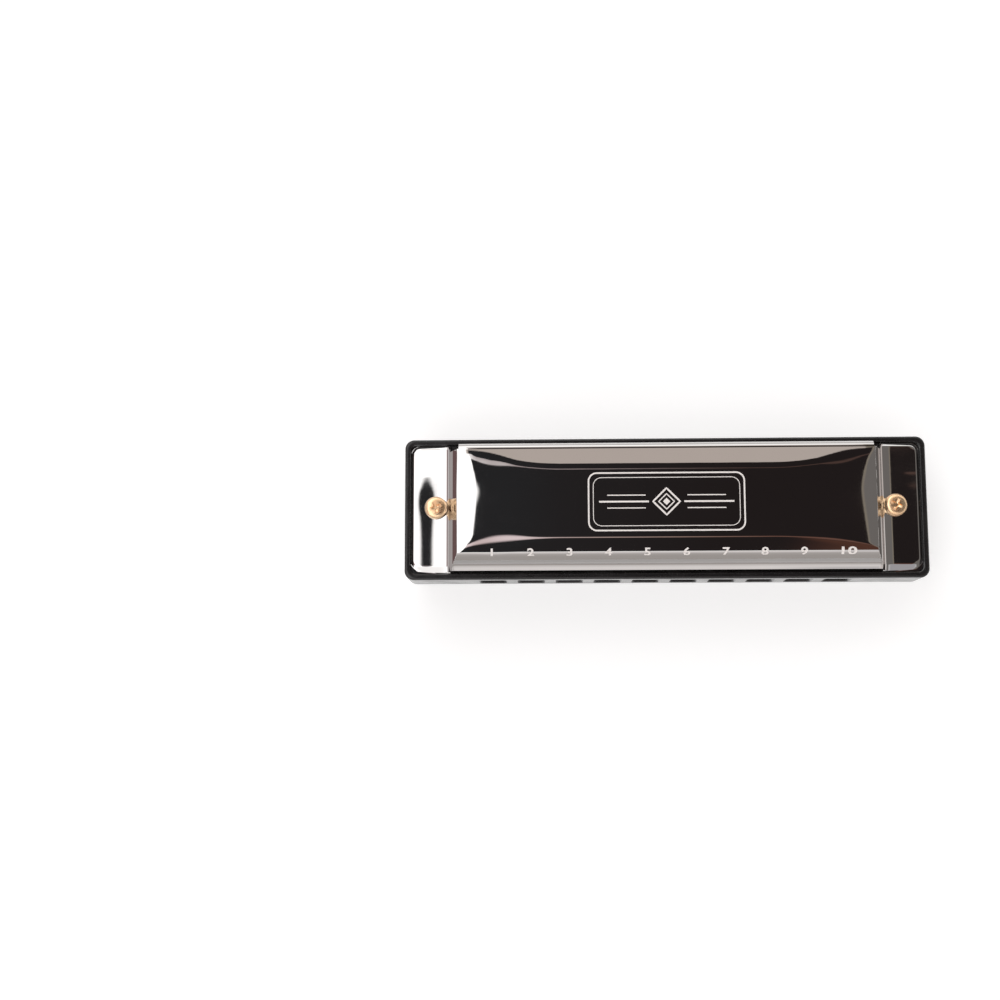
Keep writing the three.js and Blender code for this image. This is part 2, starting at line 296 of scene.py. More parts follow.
def make_black_plastic():
    material, nodes, shader, coords = new_material("black_plastic_finish", IOR=1.5)
    cloud = nodes.noise(coords, 220, detail=3)
    fine = nodes.noise(coords, 2600, detail=2)
    specks = nodes.noise(coords, 5200, detail=1)
    tone = nodes.mix(cloud, (0.012, 0.0115, 0.012, 1), (0.017, 0.016, 0.0165, 1))
    nodes.put(shader.inputs["Base Color"], nodes.mix(
        nodes.ramp(specks, 0.68, 0.78, 0.0, 0.35), tone, (0.10, 0.095, 0.095, 1)))
    nodes.put(shader.inputs["Roughness"], nodes.math(
        "ADD", nodes.ramp(cloud, 0.3, 0.7, 0.13, 0.22), nodes.ramp(specks, 0.6, 0.8, 0.0, 0.2)))
    bump(nodes, shader, fine, 0.08, 0.00003)
    return material


def make_brass(name, light, dark, rough_low, rough_high, grain, depth):
    """Brass with grain lines along Y or X, a little tarnish and scratches."""
    material, nodes, shader, coords = new_material(name, Metallic=1.0)
    tarnish = nodes.noise(coords, 160, detail=4, roughness=0.6)
    lines = nodes.noise(nodes.stretched(coords, *grain), 1.0, detail=3)
    nodes.put(shader.inputs["Base Color"], nodes.mix(nodes.ramp(tarnish, 0.35, 0.7), light, dark))
    nodes.put(shader.inputs["Roughness"], nodes.math(
        "ADD", nodes.ramp(lines, 0.3, 0.7, rough_low, rough_high),
        nodes.ramp(tarnish, 0.5, 0.8, 0.0, 0.12)))
    bump(nodes, shader, lines, 0.25, depth)
    return material


def make_etched():
    material, nodes, shader, coords = new_material("etched_frost_finish", Roughness=0.75)
    grain = nodes.noise(coords, 5200, detail=2)
    nodes.put(shader.inputs["Base Color"], nodes.mix(
        grain, (0.86, 0.82, 0.79, 1), (0.97, 0.93, 0.90, 1)))
    bump(nodes, shader, grain, 0.3, 0.00001)
    return material


STEEL = make_polished_steel()
PLASTIC = make_black_plastic()
PLATE_BRASS = make_brass("plate_brass_finish", (0.66, 0.50, 0.24, 1), (0.50, 0.36, 0.16, 1),
                         0.22, 0.34, (900, 14000, 9000), 0.00001)
REED_BRASS = make_brass("reed_brass_finish", (0.78, 0.60, 0.30, 1), (0.62, 0.45, 0.20, 1),
                        0.16, 0.30, (16000, 900, 9000), 0.00001)
RIVET_BRASS = make_brass("rivet_brass_finish", (0.62, 0.46, 0.20, 1), (0.42, 0.29, 0.12, 1),
                         0.2, 0.38, (5000, 5000, 5000), 0.00001)
SCREW_BRASS = make_brass("screw_brass_finish", (1.0, 0.76, 0.50, 1), (0.96, 0.63, 0.37, 1),
                         0.20, 0.32, (6000, 6000, 6000), 0.00001)
ZINC = make_brass("zinc_steel_finish", (0.62, 0.62, 0.60, 1), (0.45, 0.45, 0.44, 1),
                  0.2, 0.4, (5000, 5000, 5000), 0.00001)
ETCHED = make_etched()

# ------------------------------------------------------------------ covers

SKIN = 0.45
# The nose's slope in degrees at distances from the middle, from its foot up to the brow.
NOSE_TILTS = ((-12.4, 85), (-12.28, 84), (-12.23, 27), (-11.8, 28), (-11.6, 35), (-11.3, 45),
              (-11.0, 49.5), (-10.4, 48.2), (-9.5, 45), (-8.6, 40), (-8.0, 38))
NOSE_FOOT_Z = 4.6
BROW = {"y": -8.8, "z": 8.97, "slope": 0.25, "bend": 0.025}
REAR = {"y": 8.3, "z": 9.4, "slope": 0.135}
DIP_START = 20.0
DIP_RATE = 0.0016
# The share of that rate at the nose, what it gains over the brow, and what it loses behind.
DIP_SHARE = {"nose": 0.62, "gain": 0.38, "loss": 0.42, "right": 0.96}
# The last drop at each end: where it starts, and its rate on the left and on the right.
END_DROP = {"start": 37.2, "left": 0.02, "right": 0.008}
# Near the ends the front crease widens: where most, over what distance, and by how much.
# There the top also falls away at the rate rear, behind rear_start.
WIDENING = {"place": 33, "spread": 5.5, "left": 0.7, "right": 0.12, "rear": 0.011, "rear_start": 6.6}
# How wide each crease is.
CREASE = {"brow": 0.10, "front": 0.07, "rear": 0.095, "wall": 0.1, "foot": 0.12}
WALL = {"x": 40.6, "z": 8.6, "slope": 2.35}
# The slope in degrees of the fillet and flange at distances outwards from the wall's foot.
FLANGE_TILTS = ((0.0, 66), (0.15, 54), (0.35, 36), (0.6, 20), (0.9, 11), (1.35, 6), (1.85, 3.2),
                (2.4, 2.35), (3.2, 2.35), (5.4, 2.2), (7.2, 2.0), (9.0, 2.0))
# The flange's shallow dish around the screw: its distance outwards and its reach.
DISH = {"place": 4.7, "reach": 1.21}
FLANGE_START = 42.05
FLANGE_TOP = LEDGE_Z + 0.6
# The flange's raised panel, and how steeply its border falls away in front, behind and outside.
PANEL = {"x": 49.25, "front": -11.2, "back": 12.0, "corner": 1.3}
BORDER = {"front": 0.34, "back": 0.42, "outside": 0.55}
SCREW_LOW, SCREW_HIGH = local_box("cover_screw_right")
SCREW_X = SCREW_LOW.x / 2 + SCREW_HIGH.x / 2
SCREW_Y = SCREW_LOW.y / 2 + SCREW_HIGH.y / 2
DOME_FRONT = -12.4
DOME_BACK = 11.3
HEM = {"y": 11.27, "radius": 1.15, "half_x": 40.2}


def soft_min(a, b, reach):
    overlap = np.clip(reach - np.abs(a - b), 0, None) / reach
    return np.minimum(a, b) - overlap * overlap * reach / 4


def soft_step(value, low, high):
    t = np.clip((value - low) / (high - low), 0, 1)
    return t * t * (3 - 2 * t)


def walk_up(tilts, start_z, steps=600):
    """Places and heights along a slope given by (place, degrees) pairs."""
    places = np.linspace(tilts[0][0], tilts[-1][0], steps)
    slopes = np.tan(np.radians(np.interp(places, *zip(*tilts))))
    rises = (slopes[1:] + slopes[:-1]) / 2 * np.diff(places)
    return places, start_z + np.concatenate([[0], np.cumsum(rises)])


NOSE_LINE = walk_up(NOSE_TILTS, NOSE_FOOT_Z)
FLANGE_LINE = walk_up(FLANGE_TILTS, 0.0)
FLANGE_DROP = float(np.interp(2.4, *FLANGE_LINE))


def nose_height(y):
    height = np.interp(y, *NOSE_LINE)
    past = np.clip(y - NOSE_LINE[0][-1], 0, None)
    return height + past * math.tan(math.radians(NOSE_TILTS[-1][1]))


def brow_height(y):
    t = np.clip(y - BROW["y"], None, 5.0)
    return BROW["z"] + BROW["slope"] * t - BROW["bend"] / 2 * t * t


def flange_height(across, y):
    """The fillet and the flange's panel, dished on both sides of the screw."""
    s = np.clip(across - FLANGE_START, 0, None)
    height = FLANGE_TOP + FLANGE_DROP - np.interp(s, *FLANGE_LINE)
    deep = (0.34 * soft_step(-y, -7.1, -6.0) + 0.34 * soft_step(-y, -5.2, -3.4)
            + 0.65 * np.exp(-((y - SCREW_Y - 1.3) / 2.2) ** 2) - 0.12 * soft_step(-y, 1.0, 7.0))
    steps = 24
    for step in range(steps):
        place = s * (step + 0.5) / steps
        bent = np.exp(-((place - DISH["place"]) / DISH["reach"]) ** 2)
        height = height + np.radians(deep) * bent * s / steps
    return height


def end_height(across, y):
    """The end wall, its fillet and the flange."""
    wall = WALL["z"] - WALL["slope"] * (across - WALL["x"])
    return -soft_min(-wall, -flange_height(across, y), CREASE["foot"])


def border_drop(across, y):
    """How far the flange's border lies under the plane of its panel."""
    corner = PANEL["corner"]
    past_x = np.clip(across - (PANEL["x"] - corner), 0, None)
    past_front = np.clip((PANEL["front"] + corner) - y, 0, None)
    past_back = np.clip(y - (PANEL["back"] - corner), 0, None)
    past_y = past_front + past_back
    distance = np.hypot(past_x, past_y) - corner
    size = past_x + past_y + 1e-9
    slope = (BORDER["outside"] * past_x + BORDER["front"] * past_front
             + BORDER["back"] * past_back) / size
    bend = 0.12
    eased = np.clip(distance + bend, 0, 2 * bend) ** 2 / (4 * bend)
    return slope * (eased + np.clip(distance - bend, 0, None))


def cover_height(x, y):
    """The height of the upper cover's outer face over the mid plane."""
    x, y = np.broadcast_arrays(np.asarray(x, float), np.asarray(y, float))
    across = np.abs(x)
    left = x < 0
    rate = DIP_RATE * (DIP_SHARE["nose"] + DIP_SHARE["gain"] * soft_step(y, -11, 5.0)
                       - DIP_SHARE["loss"] * soft_step(y, 2.5, 11.0))
    rate = rate * np.where(left, 1.0, DIP_SHARE["right"])
    end_rate = np.where(left, END_DROP["left"], END_DROP["right"])
    end_dip = end_rate * np.clip(across - END_DROP["start"], 0, None) ** 2
    top = TOP_Z - rate * np.clip(across - DIP_START, 0, None) ** 2 - end_dip
    widen = np.exp(-((across - WIDENING["place"]) / WIDENING["spread"]) ** 2)
    top = top - WIDENING["rear"] * widen * np.clip(y - WIDENING["rear_start"], 0, None) ** 2
    front_widen = widen * np.where(left, WIDENING["left"], WIDENING["right"])
    front = soft_min(nose_height(y), brow_height(y), CREASE["brow"])
    rear = REAR["z"] - REAR["slope"] * (y - REAR["y"]) - end_dip
    dome = soft_min(soft_min(front, top, CREASE["front"] + front_widen), rear, CREASE["rear"])
    height = soft_min(dome, end_height(across, y), CREASE["wall"])
    drop = border_drop(across, y) * soft_step(across, 41.0, 41.8)
    return np.maximum(height - drop, LEDGE_Z + 0.12)


def spaced(*stretches):
    """Numbers from (start, end, step) stretches that follow each other."""
    values = [stretches[0][0]]
    for start, end, step in stretches:
        count = max(1, round(abs(end - start) / step))
        values.extend(start + (end - start) * (index + 1) / count for index in range(count))
    return np.array(values)


def cover_shell():
    """Points and faces of the pressed sheet, outer face up, without its rolled hem."""
    flange_x = spaced((FLANGE_START, 43.1, 0.07), (43.1, 44.6, 0.15), (44.6, 48.9, 0.33),
                      (48.9, COVER_HIGH.x, 0.06))
    dome_x = spaced((0, DIP_START, 2.0), (DIP_START, 38.5, 0.6), (38.5, 39.9, 0.15),
                    (39.9, 40.9, 0.045), (40.9, FLANGE_START, 0.1))
    half = np.concatenate([dome_x, flange_x[1:]])
    columns = np.concatenate([-half[:0:-1], half])
    rows = spaced((COVER_LOW.y, DOME_FRONT, 0.06), (DOME_FRONT, -12.2, 0.02), (-12.2, -11.0, 0.06),
                  (-11.0, -9.1, 0.12), (-9.1, -8.5, 0.035), (-8.5, -7.2, 0.16),
                  (-7.2, -5.6, 0.05), (-5.6, 6.4, 0.6),
                  (6.4, 8.9, 0.06), (8.9, 11.0, 0.3), (11.0, DOME_BACK, 0.06),
                  (DOME_BACK, -COVER_LOW.y, 0.06))
    x, y = np.meshgrid(columns, rows)
    corner = 1.4
    past = np.clip(np.abs(y) + COVER_LOW.y + corner, 0, corner)
    reach = COVER_HIGH.x - corner + np.sqrt(np.clip(corner ** 2 - past ** 2, 0, None))
    spread = (reach - FLANGE_START) / (COVER_HIGH.x - FLANGE_START)
    beyond = np.clip(np.abs(x) - FLANGE_START, 0, None)
    x = np.where(beyond > 0, np.sign(x) * (FLANGE_START + beyond * spread), x)
    z = cover_height(x, y)
    outer = np.stack([x, y, z], axis=-1)
    step = 0.01
    slope_x = (cover_height(x + step, y) - cover_height(x - step, y)) / (2 * step)
    slope_y = (cover_height(x, y + step) - cover_height(x, y - step)) / (2 * step)
    normal = np.stack([-slope_x, -slope_y, np.ones_like(z)], axis=-1)
    normal /= np.linalg.norm(normal, axis=-1, keepdims=True)
    inner = outer - normal * SKIN
    flat = np.abs(x) > FLANGE_START - 0.4
    inner[..., 2] = np.where(flat, np.maximum(inner[..., 2], LEDGE_Z), inner[..., 2])
    inner[..., 0] = np.where(flat, x, inner[..., 0])
    inner[..., 1] = np.where(flat, y, inner[..., 1])
    on_flange = np.abs(columns) >= FLANGE_START - 1e-6
    row_middle = (rows[:-1] + rows[1:]) / 2
    dome_row = (row_middle > DOME_FRONT) & (row_middle < DOME_BACK)
    flange_cell = on_flange[:-1] & on_flange[1:]
    keep = dome_row[:, None] | flange_cell[None, :]
    return outer, inner, keep


def shell_mesh(outer, inner, keep):
    """Joins the kept cells of an outer and an inner grid into one closed sheet."""
    rows, columns = keep.shape
    wide = columns + 1
    total = outer.shape[0] * outer.shape[1]
    faces = []
    edges = {}
    for row in range(rows):
        for column in range(columns):
            if not keep[row, column]:
                continue
            a = row * wide + column
            quad = (a, a + 1, a + 1 + wide, a + wide)
            faces.append(quad)
            faces.append(tuple(index + total for index in reversed(quad)))
            for one, two in zip(quad, quad[1:] + quad[:1]):
                if edges.pop((two, one), None) is None:
                    edges[(one, two)] = True
    faces.extend((two, one, one + total, two + total) for one, two in edges)
    points = np.concatenate([outer.reshape(-1, 3), inner.reshape(-1, 3)])
    used = sorted({index for face in faces for index in face})
    renumber = {index: place for place, index in enumerate(used)}
    return points[used], [tuple(renumber[index] for index in face) for face in faces]


def hem_mesh():
    """The rear edge rolled into a C: a swept section that follows the rear face's height."""
    first, last, steps = math.radians(105), math.radians(-215), 26
    angles = [first + (last - first) * step / steps for step in range(steps + 1)]
    section = [(HEM["radius"] * math.cos(a), HEM["radius"] * math.sin(a)) for a in angles]
    inside = HEM["radius"] - SKIN * 0.9
    section += [(inside * math.cos(a), inside * math.sin(a)) for a in reversed(angles)]
    rings = []
    for x in spaced((-HEM["half_x"], -38, 0.3), (-38, 38, 2.0), (38, HEM["half_x"], 0.3)):
        middle = float(cover_height(x, HEM["y"])) - HEM["radius"] + 0.03
        rings.append([(x, HEM["y"] + dy, middle + dz) for dy, dz in section])
    return loft(rings)


def turn_under(points):
    """The lower cover is the same pressing, turned over about Y."""
    return [(-x, y, -z) for x, y, z in points]


def build_covers():
    shell = shell_mesh(*cover_shell())
    points, faces = join_shapes([([tuple(p) for p in shell[0]], shell[1]), hem_mesh()])
    upper = new_object("upper_cover_sheet", points, faces, STEEL)
    finish_piece(upper, "polished_steel", "upper_cover")
    lower = new_object("lower_cover_sheet", turn_under(points), faces, STEEL)
    finish_piece(lower, "polished_steel", "lower_cover")


# ------------------------------------------------------------------ comb


def build_comb():
    x, y, z = COMB_HALF
    steps = 6
    profile = [(48.6, 11.4, 0.6, SEAT_Z), (48.6, 11.4, 0.6, LEDGE_Z), (49.9, 12.8, 1.2, LEDGE_Z),
               (49.9, 12.8, 1.2, z - 0.15), (49.95, 12.85, 1.25, z - 0.04),
               (50.06, 12.96, 1.3, z)]
    edge = 0.45
    for step in range(steps + 1):
        angle = math.pi / 2 * step / steps
        inset = edge * (1 - math.sin(angle))
        profile.append((x - inset, y - inset, 1.8 - inset * 0.6, z - edge * (1 - math.cos(angle))))
    profile += [(half_x, half_y, radius, -height)
                for half_x, half_y, radius, height in reversed(profile)]
    rings = [[(px, py, height) for px, py in rounded_rect(half_x, half_y, radius)]
             for half_x, half_y, radius, height in profile]
    points, faces = loft(rings)
    comb = new_object("comb_body", points, [face[::-1] for face in faces], PLASTIC)
    cut(comb, chamber_cutter())
    cut(comb, mouth_cutter())
    smooth(comb, 28)
    flatten = comb.modifiers.new("flat_faces", "WEIGHTED_NORMAL")
    flatten.keep_sharp = True
    finish_piece(comb, "black_plastic", "comb")


def chamber_cutter():
    """The ten air chambers, open to both reed plates, and the two cover screw holes."""
    shapes = []
    for label, centre in zip(LABELS, HOLE_X):
        back = local_box(f"blow_reed_{label}")[1].y + 0.7
        front = -11.2
        outline = rounded_rect(2.5, (back - front) / 2, 0.3, 3)
        rings = [[(centre + px, (back + front) / 2 + py, height) for px, py in outline]
                 for height in (-SEAT_Z - 0.3, SEAT_Z + 0.3)]
        shapes.append(loft(rings))
    for end in (-1, 1):
        shapes.append(turned([(1.2, -SEAT_Z - 0.3), (1.2, SEAT_Z + 0.3)], end * SCREW_X, SCREW_Y, 24))
    return new_object("chamber_cutter", *join_shapes(shapes), None)


def mouth_cutter():
    """The ten mouth holes, each flared where it meets the comb's front face."""
    flare = 0.32
    face = -COMB_HALF.y
    shapes = []
    for centre in HOLE_X:
        rings = []
        sections = [(face - 0.3, flare)]
        for step in range(6):
            angle = math.pi / 2 * step / 5
            sections.append((face + flare * math.sin(angle), flare * (1 - math.sin(angle))))
        sections.append((-11.0, 0.0))
        for y, wider in sections:
            outline = rounded_rect(2.4 + wider, 2.5 + wider, 0.45 + wider * 0.6, 5)
            rings.append([(centre + px, y, pz) for px, pz in outline])
        points, faces = loft(rings)
        shapes.append((points, [item[::-1] for item in faces]))
    return new_object("mouth_cutter", *join_shapes(shapes), None)


# ------------------------------------------------------------------ reeds and rivets

REED_WIDEST = 2.2
REED_WIDTH_STEP = 0.03
PAD_HALF = 1.3


def reed_mesh(low, high, width, tip_side):
    """A riveted pad and a tongue with a filed middle, as one closed strip."""
    centre = (low.x + high.x) / 2
    pad = (high.x - low.x) / 2
    length = high.y - low.y
    thick = high.z - low.z
    shoulder = 2 * PAD_HALF
    stations = spaced((0, 0.3, 0.06), (0.3, shoulder - 0.6, 0.4), (shoulder - 0.6, shoulder + 0.1, 0.07),
                      (shoulder + 0.1, length - 0.25, 0.35), (length - 0.25, length, 0.05))
    rings = []
    for s in stations:
        neck = float(soft_step(np.array(s), shoulder - 0.55, shoulder))
        half = pad + (width / 2 - pad) * neck
        half -= 0.25 * (1 - math.sqrt(max(0.0, 1 - (max(0.0, 0.3 - s) / 0.3) ** 2)))
        half -= 0.16 * (1 - math.sqrt(max(0.0, 1 - (max(0.0, s - length + 0.25) / 0.25) ** 2)))
        along = max(0.0, (s - shoulder) / (length - shoulder))
        filed = 0.09 * math.sin(math.pi * min(1.0, along * 1.15)) ** 2 if along > 0 else 0.0
        y = high.y - s if tip_side < 0 else low.y + s
        bevel = 0.03
        top = high.z - filed if tip_side > 0 else high.z
        bottom = low.z + filed if tip_side < 0 else low.z
        rings.append([(centre - half, y, bottom + bevel), (centre - half + bevel, y, bottom),
                      (centre + half - bevel, y, bottom), (centre + half, y, bottom + bevel),
                      (centre + half, y, top - bevel), (centre + half - bevel, y, top),
                      (centre - half + bevel, y, top), (centre - half, y, top - bevel)])
    points, faces = loft(rings)
    if tip_side < 0:
        faces = [face[::-1] for face in faces]
    return points, [face[::-1] for face in faces]


def build_reeds():
    for index, label in enumerate(LABELS):
        width = REED_WIDEST - REED_WIDTH_STEP * index
        for kind, tip_side in (("blow", -1), ("draw", 1)):
            node = f"{kind}_reed_{label}"
            low, high = local_box(node)
            points, faces = reed_mesh(low, high, width, tip_side)
            reed = new_object(f"{kind}_tongue_{label}", points, faces, REED_BRASS)
            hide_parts(node)
            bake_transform(reed)
            build_rivet(kind, label)


def build_rivet(kind, label):
    """A peened rivet with two domed heads, the same heights as its CAD node."""
    node = f"{kind}_rivet_{label}"
    low, high = local_box(node)
    plate = PLATE_HIGH.z if kind == "blow" else -SEAT_Z
    other_face = high.z - plate
    reed_head = 1.1
    plate_head = 1.0
    inner_top = low.z + other_face
    profile = [(0.0, low.z)]
    profile += [(reed_head * math.sin(a), low.z + other_face * (1 - math.cos(a)))
                for a in (math.pi / 2 * step / 6 for step in range(1, 7))]
    profile += [(0.6, inner_top), (0.6, plate), (plate_head, plate)]
    profile += [(plate_head * math.cos(a), plate + other_face * math.sin(a))
                for a in (math.pi / 2 * step / 6 for step in range(1, 6))]
    profile += [(0.0, high.z)]
    x = (low.x + high.x) / 2
    y = (low.y + high.y) / 2
    rivet = new_object(f"{kind}_peened_rivet_{label}", *lathe(profile, x, y, 20), RIVET_BRASS)
    finish_piece(rivet, "rivet_brass", node)


def lathe(profile, x, y, sides):
    """Like turned, for a profile whose first and last points lie on the axis."""
    points, faces = turned(profile[1:-1], x, y, sides)
    faces = faces[:-2]
    count = len(profile) - 2
    low, high = len(points), len(points) + 1
    points = points + [(x, y, profile[0][1]), (x, y, profile[-1][1])]
    last = (count - 1) * sides
    for side in range(sides):
        after = (side + 1) % sides
        faces.append((low, after, side))
        faces.append((high, last + side, last + after))
    return points, faces


# ------------------------------------------------------------------ screws and nuts


def pan_head(radius, seat, top, sides_up):
    """Profile of a pan head from its seat to its crown, as (radius, z)."""
    height = top - seat
    points = [(radius - 0.06, seat), (radius, seat + 0.06), (radius, seat + height * 0.38)]
    for step in range(1, sides_up):
        t = step / sides_up
        rise = 0.38 + 0.62 * math.sin(t * math.pi / 2) ** 0.9
        points.append((radius * (1 - 0.18 * t - 0.72 * t ** 4), seat + height * rise))
    return points


def cross_cutter(x, y, top, width, span, depth, turn, flip):
    """A tapered cross recess, as two crossing wedges."""
    shapes = []
    for quarter in (0, 1):
        rings = []
        for height, scale in ((top + 0.5, 1.12), (top, 1.0), (top - depth, 0.42)):
            ring = []
            for px, py in rounded_rect(span / 2 * scale, width / 2 * (0.5 + 0.5 * scale), 0.08, 3):
                angle = turn + quarter * math.pi / 2
                ring.append((x + px * math.cos(angle) - py * math.sin(angle),
                             y + px * math.sin(angle) + py * math.cos(angle), height * flip))
            rings.append(ring)
        points, faces = loft(rings)
        shapes.append((points, faces if flip < 0 else [face[::-1] for face in faces]))
    return shapes


def thread_profile(radius, low, high, pitch):
    """Ridges of a thread as rings, which is how it looks from the side."""
    points = []
    count = int((high - low) / pitch)
    for turn in range(count):
        base = low + turn * pitch
        points += [(radius - 0.12, base), (radius, base + pitch * 0.42),
                   (radius, base + pitch * 0.58)]
    points.append((radius - 0.12, low + count * pitch))
    return points


def build_screw(name, node, slot, material, head, shank, cross, pitch, turn):
    """A pan head screw along Z; the lower plate's screws point upwards."""
    low, high = local_box(node)
    upright = not node.startswith("lower")
    flip = 1 if upright else -1
    top = high.z if upright else -low.z
    tip = low.z if upright else -high.z
    x = (low.x + high.x) / 2
    y = (low.y + high.y) / 2
    seat = FLANGE_TOP if node.startswith("cover") else LEDGE_Z
    profile = [(0.0, tip), (shank * 0.55, tip)]
    profile += thread_profile(shank, tip + 0.25, seat - 0.2, pitch)
    profile += [(shank - 0.1, seat)] + pan_head(head, seat, top, 7) + [(0.0, top)]
    points, faces = lathe(profile, x, y, 40)
    if flip < 0:
        points = [(px, py, -pz) for px, py, pz in points]
        faces = [face[::-1] for face in faces]
    screw = new_object(name, points, faces, material, 40)
    width, span, depth = cross
    for points, faces in cross_cutter(x, y, top, width, span, depth, turn, flip):
        cut(screw, new_object("cross_cutter", points, faces, None))
    smooth(screw, 40)
    finish_piece(screw, slot, node)


def build_nut(name, node):
    """A chamfered hexagonal nut."""
    low, high = local_box(node)
    x = (low.x + high.x) / 2
    y = (low.y + high.y) / 2
    flats = (high.y - low.y) / 2
    sides = 48
    bore = 1.02
    chamfer = flats * 1.03
    rings = []
    for kind in ("bore_low", "cone_low", "wall_low", "wall_high", "cone_high", "bore_high"):
        ring = []
        for side in range(sides):
            angle = 2 * math.pi * side / sides
            sector = angle % (math.pi / 3) - math.pi / 6
            corner = flats / math.cos(sector)
            drop = max(0.0, corner - chamfer) * 0.58
            radius, height = {
                "bore_low": (bore, low.z), "cone_low": (min(corner, chamfer), low.z),
                "wall_low": (corner, low.z + drop + 0.02), "wall_high": (corner, high.z - drop - 0.02),
                "cone_high": (min(corner, chamfer), high.z), "bore_high": (bore, high.z)}[kind]
            ring.append((x + radius * math.cos(angle), y + radius * math.sin(angle), height))
        rings.append(ring)
    points = [point for ring in rings for point in ring]
    faces = grid_faces(len(rings), sides, closed=True)
    last = (len(rings) - 1) * sides
    faces += [(last + side, last + (side + 1) % sides, (side + 1) % sides, side)
              for side in range(sides)]
    nut = new_object(name, points, faces, SCREW_BRASS, 30)
    finish_piece(nut, "screw_brass", node)


def build_fasteners():
    for label, turn in (("left", 0.35), ("right", 1.1)):
        build_screw(f"cover_pan_screw_{label}", f"cover_screw_{label}", "screw_brass", SCREW_BRASS,
                    2.2, 0.95, (0.62, 2.5, 0.6), 0.4, turn)
        build_nut(f"cover_hex_nut_{label}", f"cover_nut_{label}")
    for side in ("upper", "lower"):
        for number in range(1, 6):
            node = f"{side}_plate_screw_{number:02d}"
            build_screw(f"{side}_plate_pan_screw_{number:02d}", node, "zinc_steel", ZINC,
                        1.3, 0.6, (0.34, 1.5, 0.5), 0.35, 0.5 + number)


# ------------------------------------------------------------------ etched marks

# The marks lie this far over the sheet, so that they show.
ETCH_LIFT = 0.02
DIGIT_LOW_Y = -9.68
DIGIT_HEIGHT = 1.65
FONT_SIZE_PER_HEIGHT = 1.38
DIGIT_WIDEN = 1.22
TEN_SHIFT = 0.75
TEN_WIDEN = 1.6


def section_length_table():
    """Distance along the cover's section, from the digits' lower edge towards the back."""
    y = np.linspace(DIGIT_LOW_Y, DIGIT_LOW_Y + 3.0, 600)
    z = cover_height(0.0, y)
    walked = np.concatenate([[0], np.cumsum(np.hypot(np.diff(y), np.diff(z)))])
    return walked, y


def text_outline(text, size):
    """A digit's faces as a fine flat mesh, centred on x = 0 with its foot at y = 0."""
    curve = bpy.data.curves.new("digit", "FONT")
    curve.body = text
    curve.size = size
    curve.offset = size * 0.024
    curve.align_x = "CENTER"
    curve.resolution_u = 6
    letter = bpy.data.objects.new("digit", curve)
    bpy.context.scene.collection.objects.link(letter)
    bpy.context.view_layer.update()
    shaped = letter.evaluated_get(bpy.context.evaluated_depsgraph_get())
    mesh = bpy.data.meshes.new_from_object(shaped)
    bpy.data.objects.remove(letter)
    return mesh


def refine(mesh, longest):
    """Splits a flat mesh until no edge is longer than longest."""
    work = bmesh.new()
    work.from_mesh(mesh)
    bmesh.ops.remove_doubles(work, verts=work.verts, dist=1e-5)
    bmesh.ops.triangulate(work, faces=work.faces)
    for _ in range(6):
        long_edges = [edge for edge in work.edges if edge.calc_length() > longest]
        if not long_edges:
            break
        bmesh.ops.subdivide_edges(work, edges=long_edges, cuts=1)
        bmesh.ops.triangulate(work, faces=work.faces)
    points = [tuple(vert.co) for vert in work.verts]
    faces = [tuple(vert.index for vert in face.verts) for face in work.faces]
    work.free()
    return points, faces


def build_digits():
    walked, table_y = section_length_table()
    shapes = []
    for number, centre in enumerate(HOLE_X, 1):
        flat = text_outline(str(number), DIGIT_HEIGHT * FONT_SIZE_PER_HEIGHT)
        points, faces = refine(flat, 0.12)
        widen = TEN_WIDEN if number == HOLES else DIGIT_WIDEN
        placed = []
        for px, py, _ in points:
            y = float(np.interp(py, walked, table_y))
            x = centre + px * widen + (TEN_SHIFT if number == HOLES else 0.0)
            placed.append((x, y, float(cover_height(x, y)) + ETCH_LIFT))
        shapes.append((placed, faces))
    digits = new_object("etched_hole_numbers", *join_shapes(shapes), ETCHED, 80, closed=False)
    finish_piece(digits, "polished_steel")


def line_strip(route, width):
    """A flat ribbon along a route of (x, y) points."""
    points, faces = [], []
    count = len(route)
    closed = route[0] == route[-1]
    for index, (x, y) in enumerate(route):
        before = route[index - 1] if index > 0 else (route[-2] if closed else route[0])
        after = route[index + 1] if index < count - 1 else (route[1] if closed else route[-1])
        dx, dy = after[0] - before[0], after[1] - before[1]
        size = math.hypot(dx, dy) or 1.0
        nx, ny = -dy / size * width / 2, dx / size * width / 2
        points += [(x + nx, y + ny, 0), (x - nx, y - ny, 0)]
        if index:
            a = 2 * index
            faces.append((a - 2, a - 1, a + 1, a))
    return points, faces


def between(one, two, pieces):
    """Points from one up to, but not including, two."""
    return [(one[0] + (two[0] - one[0]) * k / pieces, one[1] + (two[1] - one[1]) * k / pieces)
            for k in range(pieces)]


